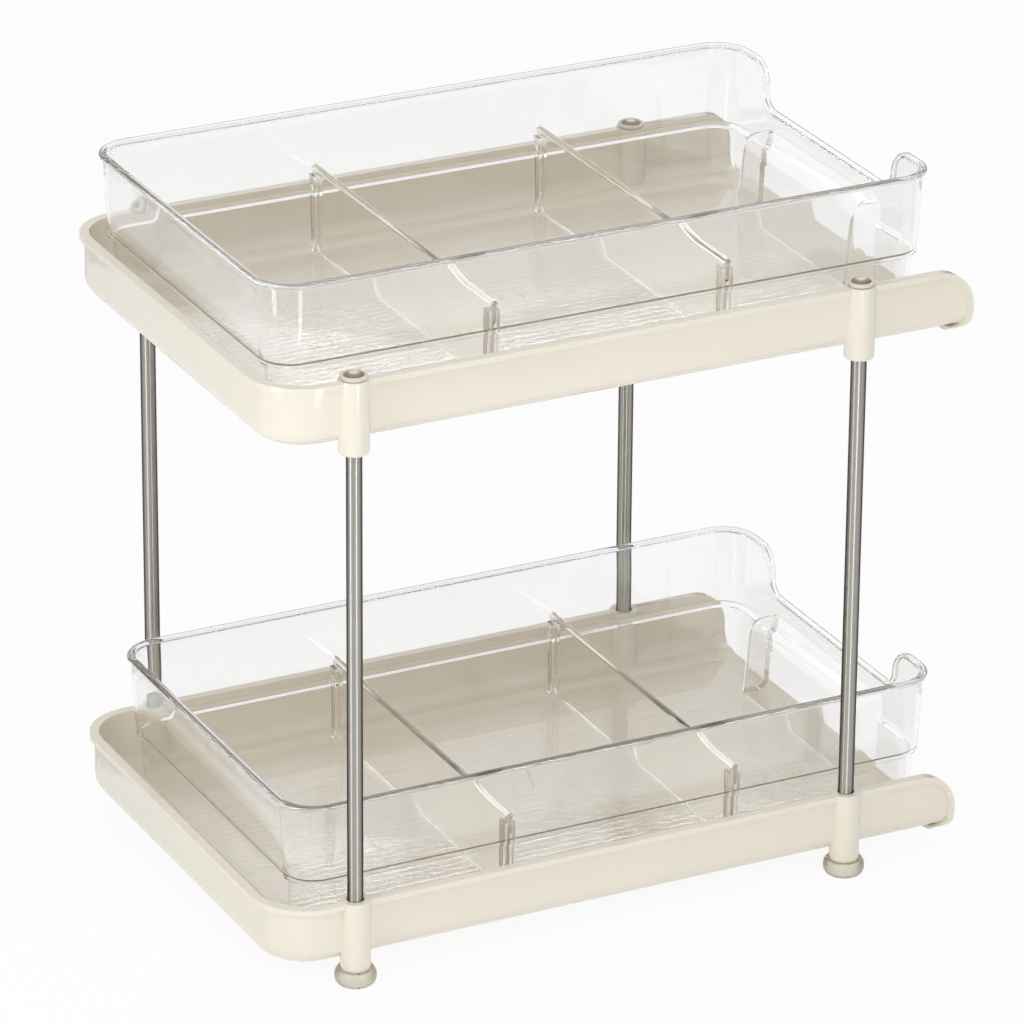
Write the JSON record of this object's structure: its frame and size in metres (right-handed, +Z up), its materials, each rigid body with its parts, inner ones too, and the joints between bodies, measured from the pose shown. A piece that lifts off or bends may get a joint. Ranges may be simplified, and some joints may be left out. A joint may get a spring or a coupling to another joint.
{
  "type": "two-tier slide-out desk organizer",
  "caption": "Free-standing desk organizer: ivory trays on steel tubes, each holding a clear slide-out bin with a low front, finger pocket and lift-out dividers.",
  "frame": {"origin": "on the surface the organizer stands on, in the middle of its trays", "axes": "+X towards the open front where the bins slide out, +Y to the right-hand wall, +Z up"},
  "size_m": [0.3853, 0.2688, 0.3704],
  "materials": {
    "ivory_plastic": "glossy moulded",
    "clear_plastic": "clear moulded",
    "polished_steel": "polished tube",
    "tan_vinyl": "soft translucent moulded"
  },
  "bodies": {
    "stand": {"lower_tray": "ivory_plastic", "upper_tray": "ivory_plastic", "rear_left_tube": "polished_steel", "rear_right_tube": "polished_steel", "front_left_tube": "polished_steel", "front_right_tube": "polished_steel", "rear_left_foot": "tan_vinyl", "rear_right_foot": "tan_vinyl", "front_left_foot": "tan_vinyl", "front_right_foot": "tan_vinyl", "rear_left_cap": "tan_vinyl", "rear_right_cap": "tan_vinyl", "front_left_cap": "tan_vinyl", "front_right_cap": "tan_vinyl"},
    "lower_drawer": {"lower_bin": "clear_plastic"},
    "upper_drawer": {"upper_bin": "clear_plastic"},
    "lower_rear_partition": {"lower_rear_divider": "clear_plastic"},
    "lower_front_partition": {"lower_front_divider": "clear_plastic"},
    "upper_rear_partition": {"upper_rear_divider": "clear_plastic"},
    "upper_front_partition": {"upper_front_divider": "clear_plastic"}
  },
  "joints": [
    {"name": "lower_bin_slide", "type": "slide", "parent": "stand", "child": "lower_drawer", "axis": [1, 0, 0], "range_m": [-0.0185, 0.1695]},
    {"name": "upper_bin_slide", "type": "slide", "parent": "stand", "child": "upper_drawer", "axis": [1, 0, 0], "range_m": [-0.008, 0.18]},
    {"name": "lower_rear_divider_lift", "type": "slide", "parent": "lower_drawer", "child": "lower_rear_partition", "axis": [0, 0, 1], "range_m": [0, 0.045]},
    {"name": "lower_front_divider_lift", "type": "slide", "parent": "lower_drawer", "child": "lower_front_partition", "axis": [0, 0, 1], "range_m": [0, 0.045]},
    {"name": "upper_rear_divider_lift", "type": "slide", "parent": "upper_drawer", "child": "upper_rear_partition", "axis": [0, 0, 1], "range_m": [0, 0.045]},
    {"name": "upper_front_divider_lift", "type": "slide", "parent": "upper_drawer", "child": "upper_front_partition", "axis": [0, 0, 1], "range_m": [0, 0.045]}
  ]
}
